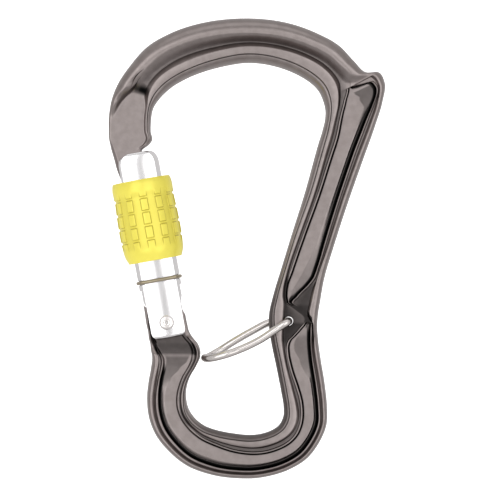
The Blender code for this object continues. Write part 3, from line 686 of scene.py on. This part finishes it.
def forged_frame():
    """The frame: the half section carried along its stations and mirrored to the back."""
    stations = ring_stations()
    inner, across, width = outline_at(stations)
    half = half_sections(stations, width)
    front = np.stack((inner[:, None, 0] + half[..., 0] * across[:, None, 0], -half[..., 1],
                      inner[:, None, 1] + half[..., 0] * across[:, None, 1]), axis=-1)
    back = front[:, -2:0:-1] * (1.0, -1.0, 1.0)
    rings = np.concatenate((front, back), axis=1)
    # the groove values are painted shade for the frame's material
    groove = np.concatenate((half[..., 2], half[:, -2:0:-1, 2]), axis=1)
    rows, columns = rings.shape[:2]
    ends = (np.arange(columns), np.arange(columns) + (rows - 1) * columns)
    made = solid("carabiner_frame", rings, grid_faces(rows, columns), ANODISED, "frame", ends,
                 {"groove": np.clip(groove, 0.0, 1.0)})
    hole = [np.insert(circle(radius, 48, WIRE_PIVOT), 1, y, axis=1) for y, radius in WIRE_HOLE]
    ring = np.arange(48)
    cut(made, np.concatenate(hole), grid_faces(len(hole), 48), (ring, ring + 48 * (len(hole) - 1)))
    tang_end = [(-9.0, 7.6), (-5.6, 6.6), (-4.9, 5.0), (-3.6, 3.7), (-2.8, 3.4), (3.2, 3.4),
                (4.4, 2.6), (5.0, 0.9), (9.0, 0.9), (9.0, 12.0), (-9.0, 12.0)]
    for outline in (tang_end, circle(RIVET_BORE + 0.1, 40)):
        points, faces, caps = prism(outline, -6.0, 6.0, 1)
        cut(made, to_gate(points), faces, caps)
    made.data.shade_smooth()
    made.data.set_sharp_from_angle(angle=math.radians(38))
    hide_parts("forged_frame")
    return made


# ---- gate ---------------------------------------------------------------------------------

RIVET = (-20.6, -65.9)  # x, z of the hinge
GATE_LEAN = math.radians(-10.4)
GATE_TOP, GATE_FOOT = 43.8, -4.0
GATE_RADIUS = 5.4
FACE_HALF_WIDTH, FACE_EDGE, FACE_CROWN = 4.3, 3.27, 0.45
FOOT_HALF_WIDTH = 4.5
SHOULDER = (4.6, 6.2)
FOOT_ROUND = (2.0, 0.9)  # corner radius in front view, and how far in the faces round over
TOP_DOME = (2.0, 3.2)  # the top's rounding: how far in, and how far down
SLOT_HALF = 2.3
TONGUE_SLOT = (36.4, 2.0)
TANG_SLOT_TOP = 9.0
SPRING_BORE = (2.2, 22.6)
RING_HEIGHT, RING_GROOVE, RING_WIRE = 11.0, (0.6, 0.65), 0.45
RIVET_BORE, RIVET_HEAD = 1.6, (1.85, 0.55)
WIRE_PIVOT = (10.3, -65.6)
WIRE_HOLE = ((-6.0, 1.42), (-3.1, 1.42), (-2.8, 1.2), (2.8, 1.2), (3.1, 1.42),
             (6.0, 1.42))  # depth and radius: a bore with its edges broken


def to_gate(points):
    """Gate axes (across, depth, along) to the carabiner's, turned about the rivet."""
    across, depth, along = np.asarray(points, dtype=float).reshape(-1, 3).T
    c, s = math.cos(GATE_LEAN), math.sin(GATE_LEAN)
    return np.stack((RIVET[0] + c * across + s * along, depth, RIVET[1] - s * across + c * along),
                    axis=1)


def gate_section(inset=0.0, radius=GATE_RADIUS, width=GATE_RADIUS):
    """The bar's outline: crowned faces front and back, round sides, a soft edge between.

    A width under the radius squeezes the round sides, and then the faces too.
    """
    half = math.sqrt(radius**2 - FACE_EDGE**2)
    share = np.linspace(-1.0, 1.0, 33)
    crown = FACE_CROWN * (half / FACE_HALF_WIDTH) ** 2
    front = np.stack((half * share, -(FACE_EDGE + crown * (1 - share**2))), axis=1)
    start = math.atan2(FACE_EDGE, half)
    turn = np.linspace(-start, start, 17)[1:-1]
    right = radius * np.stack((np.cos(turn), np.sin(turn)), axis=1)
    outline = np.concatenate((front, right, -front, -right))
    if width < radius:
        side = max(width, FOOT_HALF_WIDTH)
        beyond = np.maximum(np.abs(outline[:, 0]) - half, 0.0)
        squeezed = (np.minimum(np.abs(outline[:, 0]), half)
                    + beyond * (side - half) / (radius - half))
        outline[:, 0] = np.copysign(squeezed * width / side, outline[:, 0])
    return outline * (1 - inset / GATE_RADIUS, 1 - inset / FACE_EDGE)


def gate():
    """The milled bar: narrower foot, stop ring's groove, domed top, and the slots cut in it."""
    depth, half = RING_GROOVE
    bend = np.linspace(0.0, math.pi, 9)
    quarter = np.linspace(0.0, math.pi / 2, 13)
    dome_in, dome_down = TOP_DOME
    corner, face_in = FOOT_ROUND
    low, high = SHOULDER
    levels = []  # height, how far in the faces are, radius, half width
    for q in quarter[::-1]:
        up = corner * (1 - math.sin(q))
        inset = face_in - math.sqrt(face_in**2 - max(face_in - up, 0.0) ** 2)
        width = FOOT_HALF_WIDTH - corner * (1 - math.cos(q))
        levels.append((GATE_FOOT + up, inset, GATE_RADIUS, width))
    for t in np.linspace(0.0, 1.0, 9):
        width = FOOT_HALF_WIDTH + (GATE_RADIUS - FOOT_HALF_WIDTH) * float(smooth_step(t))
        levels.append((low + (high - low) * t, 0.0, GATE_RADIUS, width))
    for b in bend:
        levels.append((RING_HEIGHT - half * math.cos(b), depth * math.sin(b), GATE_RADIUS,
                       GATE_RADIUS))
    for q in quarter:
        radius = GATE_RADIUS - dome_in * (1 - math.cos(q))
        levels.append((GATE_TOP - dome_down * (1 - math.sin(q)), 0.25 * (1 - math.cos(q)) ** 2,
                       radius, radius))
    rings = [np.insert(gate_section(*shape), 2, z, axis=1) for z, *shape in levels]
    count = len(rings[0])
    ends = (np.arange(count), np.arange(count) + (len(rings) - 1) * count)
    made = solid("gate_bar", to_gate(np.concatenate(rings)), grid_faces(len(rings), count),
                 ALUMINIUM, "gate", ends)
    floor, closed_side = TONGUE_SLOT
    tongue = [(-9, floor), (closed_side, floor), (closed_side, 50), (-9, 50)]
    tang = [(-9, -9), (9, -9), (9, TANG_SLOT_TOP), (-9, TANG_SLOT_TOP)]
    radius, bore_top = SPRING_BORE
    cutters = [prism(slot, -SLOT_HALF, SLOT_HALF, 1) for slot in (tongue, tang)]
    cutters += [prism(circle(radius, 48), TANG_SLOT_TOP - 1, bore_top, 2),
                prism(circle(RIVET_BORE, 48), -7.0, 7.0, 1)]
    for points, faces, caps in cutters:
        cut(made, to_gate(points), faces, caps)
    made.data.shade_smooth()
    made.data.set_sharp_from_angle(angle=math.radians(30))
    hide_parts("gate")
    return made


def turned(name, profile, steps, material, body, axis="along", place=lambda p: p):
    """A closed (radius, height) profile carried round an axis; radius 0 ends close in a fan."""
    profile = np.asarray(profile, dtype=float)
    turn = np.linspace(0.0, 2 * math.pi, steps, endpoint=False)
    radius, height = profile[:, :1], profile[:, 1:]
    first, second = radius * np.cos(turn), radius * np.sin(turn)
    level = np.broadcast_to(height, first.shape)
    columns = (first, second, level) if axis == "along" else (first, level, second)
    rings = np.stack(columns, axis=-1)
    rows = len(profile)
    return solid(name, place(rings.reshape(-1, 3)), grid_faces(rows, steps), material, body,
                 (np.arange(steps), np.arange(steps) + (rows - 1) * steps))


def gate_rivet():
    """A round-headed rivet: each head a shallow dome with a small dimple in its middle."""
    head, height = RIVET_HEAD
    seat = FACE_EDGE + FACE_CROWN - 0.05
    share = np.linspace(1.0, 0.0, 17)
    dome = height * np.sqrt(np.clip(1 - (share * 0.97) ** 4, 0, 1)) + 0.1
    dimple = 0.28 * np.exp(-((share * head) / 0.38) ** 2)
    face = np.stack((np.maximum(head * share, 0.02), seat + dome - dimple), axis=1)
    front = np.concatenate(([(RIVET_BORE - 0.02, 0.0), (RIVET_BORE - 0.02, seat), (head, seat)],
                            face))
    profile = np.concatenate(((front * (1, -1))[::-1][:-1], front))
    made = turned("rivet", profile, 56, RIVET_STEEL, "gate", "depth", to_gate)
    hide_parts("gate_rivet")
    return made


def tube(name, path, radius, steps, material, body, closed=False):
    """A round section carried along a path, its frame turned as little as possible."""
    path = np.asarray(path, dtype=float)
    tangent = (np.roll(path, -1, axis=0) - np.roll(path, 1, axis=0)) if closed \
        else np.gradient(path, axis=0)
    tangent /= np.linalg.norm(tangent, axis=1)[:, None]
    side = np.zeros_like(path)
    side[0] = np.cross(tangent[0], (0.31, 0.52, 0.79))
    for i in range(1, len(path)):
        side[i] = side[i - 1] - tangent[i] * side[i - 1].dot(tangent[i])
    side /= np.linalg.norm(side, axis=1)[:, None]
    up = np.cross(tangent, side)
    turn = np.linspace(0.0, 2 * math.pi, steps, endpoint=False)[None, :, None]
    rings = path[:, None, :] + radius * (np.cos(turn) * side[:, None] + np.sin(turn) * up[:, None])
    rows = len(path)
    ends = (np.arange(steps), np.arange(steps) + (rows - 1) * steps)
    return solid(name, rings, grid_faces(rows, steps), material, body, ends)


def stop_ring():
    """The wire circlip in the gate's groove, with a short gap at the back."""
    outline = gate_section(inset=-0.05)
    back = int(np.argmax(outline[:, 1] - 0.2 * np.abs(outline[:, 0])))
    route = np.roll(outline, -back, axis=0)[2:-1]
    path = np.insert(route, 2, RING_HEIGHT, axis=1)
    made = tube("stop_ring_wire", to_gate(smooth_curve(path, 180)), RING_WIRE, 18, RING_STEEL,
                "gate")
    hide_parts("stop_ring")
    return made


# ---- sleeve -------------------------------------------------------------------------------

SLEEVE_BORE = 5.9
SLEEVE_FOOT, SLEEVE_TOP = 16.1, 36.8
SLEEVE_OUTSIDE = ((6.75, SLEEVE_FOOT), (7.15, 17.0), (7.5, 18.0), (7.72, 20.0), (7.85, 23.5),
                  (7.8, 27.0), (7.6, 31.5), (7.45, 36.4), (7.3, SLEEVE_TOP))  # radius, height
THREAD_ROOM = (6.75, 24.6, 31.4)
PAD_ROWS = (19.8, 23.35, 26.9, 30.45, 34.0)  # middle heights of the rows of grip pads
PAD_HALF_HEIGHT = 1.45
PADS_ROUND = 12
PAD_HALF_TURN = 0.24  # share of a pad's pitch that is raised, each side of its middle
PAD_CUT = 0.28  # depth of the grooves between pads
PAD_FADE = (18.8, 20.6, 32.2, 34.2)  # the grooves run out between the first and last pair


def locking_sleeve():
    """The grip sleeve: a barrel whose skin sinks between rows and columns of raised pads.

    Depth is PAD_CUT x (1 - row mask x column mask) x fade. Each mask is a steep smooth step at
    the distance of a pad's edge from its middle.
    """
    around = np.linspace(0.0, 2 * math.pi, PADS_ROUND * 26, endpoint=False)
    skin = smooth_curve(SLEEVE_OUTSIDE, 150)
    radius, height = skin[:, 0], skin[:, 1]
    nearest = np.min(np.abs(height[:, None] - np.array(PAD_ROWS)), axis=1)
    row_mask = smooth_step((PAD_HALF_HEIGHT + 0.12 - nearest) / 0.24)
    pitch = (around * PADS_ROUND / (2 * math.pi) + 0.5) % 1.0
    column_mask = smooth_step((PAD_HALF_TURN + 0.035 - np.abs(pitch - 0.5)) / 0.07)
    foot, full_foot, full_top, top = PAD_FADE
    fade = smooth_step((height - foot) / (full_foot - foot)) \
        * smooth_step((top - height) / (top - full_top))
    raised = row_mask[:, None] * column_mask[None, :]
    sunk = (1 - raised) * fade[:, None]
    # painted shade: a dark rim along each pad's edge, carried in the groove attribute
    outline = 4 * raised * (1 - raised) * fade[:, None]
    reach = radius[:, None] - PAD_CUT * sunk
    outer = np.stack((reach * np.cos(around), reach * np.sin(around),
                      np.broadcast_to(height[:, None], reach.shape)), axis=-1)
    room, room_foot, room_top = THREAD_ROOM
    inside = [(SLEEVE_BORE + 0.5, SLEEVE_TOP), (SLEEVE_BORE, SLEEVE_TOP - 0.4),
              (SLEEVE_BORE, room_top), (room, room_top), (room, room_foot),
              (SLEEVE_BORE, room_foot), (SLEEVE_BORE, SLEEVE_FOOT + 0.4),
              (SLEEVE_BORE + 0.5, SLEEVE_FOOT)]
    bore = np.array([[(r * math.cos(a), r * math.sin(a), z) for a in around] for r, z in inside])
    rings = np.concatenate((outer, bore))
    # groove attribute: painted shade, the pads' dark rims and a little over the sunk grooves
    depth = np.concatenate((outline + 0.12 * sunk, np.zeros((len(inside), len(around)))))
    made = solid("grip_sleeve", to_gate(rings), grid_faces(*rings.shape[:2], wrap_rows=True),
                 YELLOW, "sleeve", (), {"groove": depth})
    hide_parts("locking_sleeve")
    return made


# ---- wire bail ----------------------------------------------------------------------------

WIRE_RADIUS = 0.95
WIRE_SPREAD = 5.1
WIRE_STUB = 1.5
WIRE_FRONT_LEG = ((7.6, -67.2), (2.9, -70.3), (-1.9, -72.6), (-6.8, -74.3))
WIRE_BACK_LEG = ((8.0, -65.4), (5.3, -66.1), (1.3, -68.1), (-3.6, -70.9), (-7.4, -73.3))
WIRE_TIP = (-11.0, -74.9)


def wire_bail():
    """The captive wire: a stub in the pivot hole, a leg, the tip's bend, a leg and a stub."""
    pivot_x, pivot_z = WIRE_PIVOT
    tip_x, tip_z = WIRE_TIP
    front = [(pivot_x, -WIRE_STUB, pivot_z), (pivot_x, -WIRE_SPREAD + 1.5, pivot_z),
             (pivot_x - 0.35, -WIRE_SPREAD + 0.25, pivot_z - 0.15)]
    front += [(x, -WIRE_SPREAD, z) for x, z in WIRE_FRONT_LEG]
    back = [(pivot_x, WIRE_STUB, pivot_z), (pivot_x, WIRE_SPREAD - 1.5, pivot_z),
            (pivot_x - 0.35, WIRE_SPREAD - 0.25, pivot_z)]
    back += [(x, WIRE_SPREAD, z) for x, z in WIRE_BACK_LEG]
    bend = [(tip_x + 1.0, -3.4, tip_z - 0.1), (tip_x, 0.0, tip_z), (tip_x + 1.0, 3.4, tip_z + 0.2)]
    path = smooth_curve(front + bend + back[::-1], 260)
    made = tube("wire_gate", path, WIRE_RADIUS, 28, WIRE_STEEL, "wire")
    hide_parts("wire_bail")
    return made


# ---- carried CAD nodes --------------------------------------------------------------------

def finish_cad_node(name, material):
    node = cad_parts[name]
    for place in node.material_slots:
        place.material = material
    node.data.shade_smooth()


# ---- studio -------------------------------------------------------------------------------

VIEW_SPAN = 126.1  # width of the view at the carabiner, in millimetres
CAMERA_DISTANCE = 0.9
SENSOR = 36.0
VIEW_CENTRE = (0.0, -47.0)


def sweep():
    """A pale floor that curves up into a backdrop: a profile carried along X."""
    floor_height, reach, bend, rise = -150.0, 2200.0, 500.0, 2600.0
    curve = arc((reach - bend, floor_height + bend), bend, -90, 0, 24)
    profile = np.concatenate(([(-2600.0, floor_height)], curve, [(reach, rise)]))
    ends = np.array((-2600.0, 2600.0))
    points = np.stack((np.repeat(ends, len(profile)), np.tile(profile[:, 0], 2),
                       np.tile(profile[:, 1], 2)), axis=1)
    mesh = bpy.data.meshes.new("studio_sweep")
    faces = grid_faces(2, len(profile), wrap_columns=False)[:, ::-1]
    mesh.from_pydata((points * MM).tolist(), [], faces.tolist())
    mesh.shade_smooth()
    made, shader, tree = new_material("studio_paper", (0.93, 0.93, 0.93), 0.9, 0.0)
    grain = remap(tree, noise(tree, 3.0), 0.92, 0.94)
    tree.links.new(grain, shader.inputs["Base Color"])
    shader.inputs["Emission Color"].default_value = (1.0, 1.0, 1.0, 1.0)
    shader.inputs["Emission Strength"].default_value = 0.6
    mesh.materials.append(made)
    floor = bpy.data.objects.new("studio_sweep", mesh)
    floor.visible_glossy = False
    bpy.context.scene.collection.objects.link(floor)


def panel(name, place, target, size, power, shape="RECTANGLE"):
    """A soft area light at place, facing target, its size as height and width in metres."""
    lamp = bpy.data.lights.new(name, "AREA")
    lamp.shape = shape
    lamp.size, lamp.size_y = size
    lamp.energy = power
    made = bpy.data.objects.new(name, lamp)
    made.location = place
    direction = np.array(target) - np.array(place)
    yaw = math.atan2(direction[1], direction[0])
    pitch = math.atan2(-direction[2], math.hypot(direction[0], direction[1]))
    made.rotation_euler = (0.0, pitch - math.pi / 2, yaw)
    bpy.context.scene.collection.objects.link(made)
    return made


def camera():
    lens = bpy.data.cameras.new("camera")
    lens.sensor_width = SENSOR
    lens.lens = SENSOR * CAMERA_DISTANCE / (VIEW_SPAN * MM)
    lens.clip_start, lens.clip_end = 0.01, 20.0
    made = bpy.data.objects.new("camera", lens)
    made.location = (VIEW_CENTRE[0] * MM, -CAMERA_DISTANCE, VIEW_CENTRE[1] * MM)
    made.rotation_euler = (math.pi / 2, 0.0, 0.0)
    bpy.context.scene.collection.objects.link(made)
    bpy.context.scene.camera = made


def studio():
    sweep()
    middle = (0.0, 0.0, -0.047)
    panel("front_left", (-0.78, -1.7, 0.1), middle, (2.0, 1.3), 9.0)
    panel("front_right", (0.78, -1.7, 0.1), middle, (2.0, 1.3), 8.4)
    panel("overhead", (0.0, -0.3, 1.6), middle, (1.2, 1.6), 2.4)
    world = bpy.data.worlds.new("soft_room")
    bpy.context.scene.world = world
    world.use_nodes = True
    background = world.node_tree.nodes["Background"]
    background.inputs["Color"].default_value = (1.0, 0.975, 0.97, 1.0)
    background.inputs["Strength"].default_value = 0.64
    bpy.context.scene.view_settings.view_transform = "Standard"


camera()
studio()
forged_frame()
gate()
gate_rivet()
stop_ring()
locking_sleeve()
wire_bail()
finish_cad_node("gate_spring", SPRING_STEEL)
finish_cad_node("spring_plunger", SPRING_STEEL)
finish_cad_node("sleeve_thread", THREAD_METAL)

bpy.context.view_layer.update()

for name in ("carabiner_frame", "gate_bar", "grip_sleeve", "rivet", "wire_gate",
             "stop_ring_wire"):
    face_outwards(bpy.data.objects[name].data)
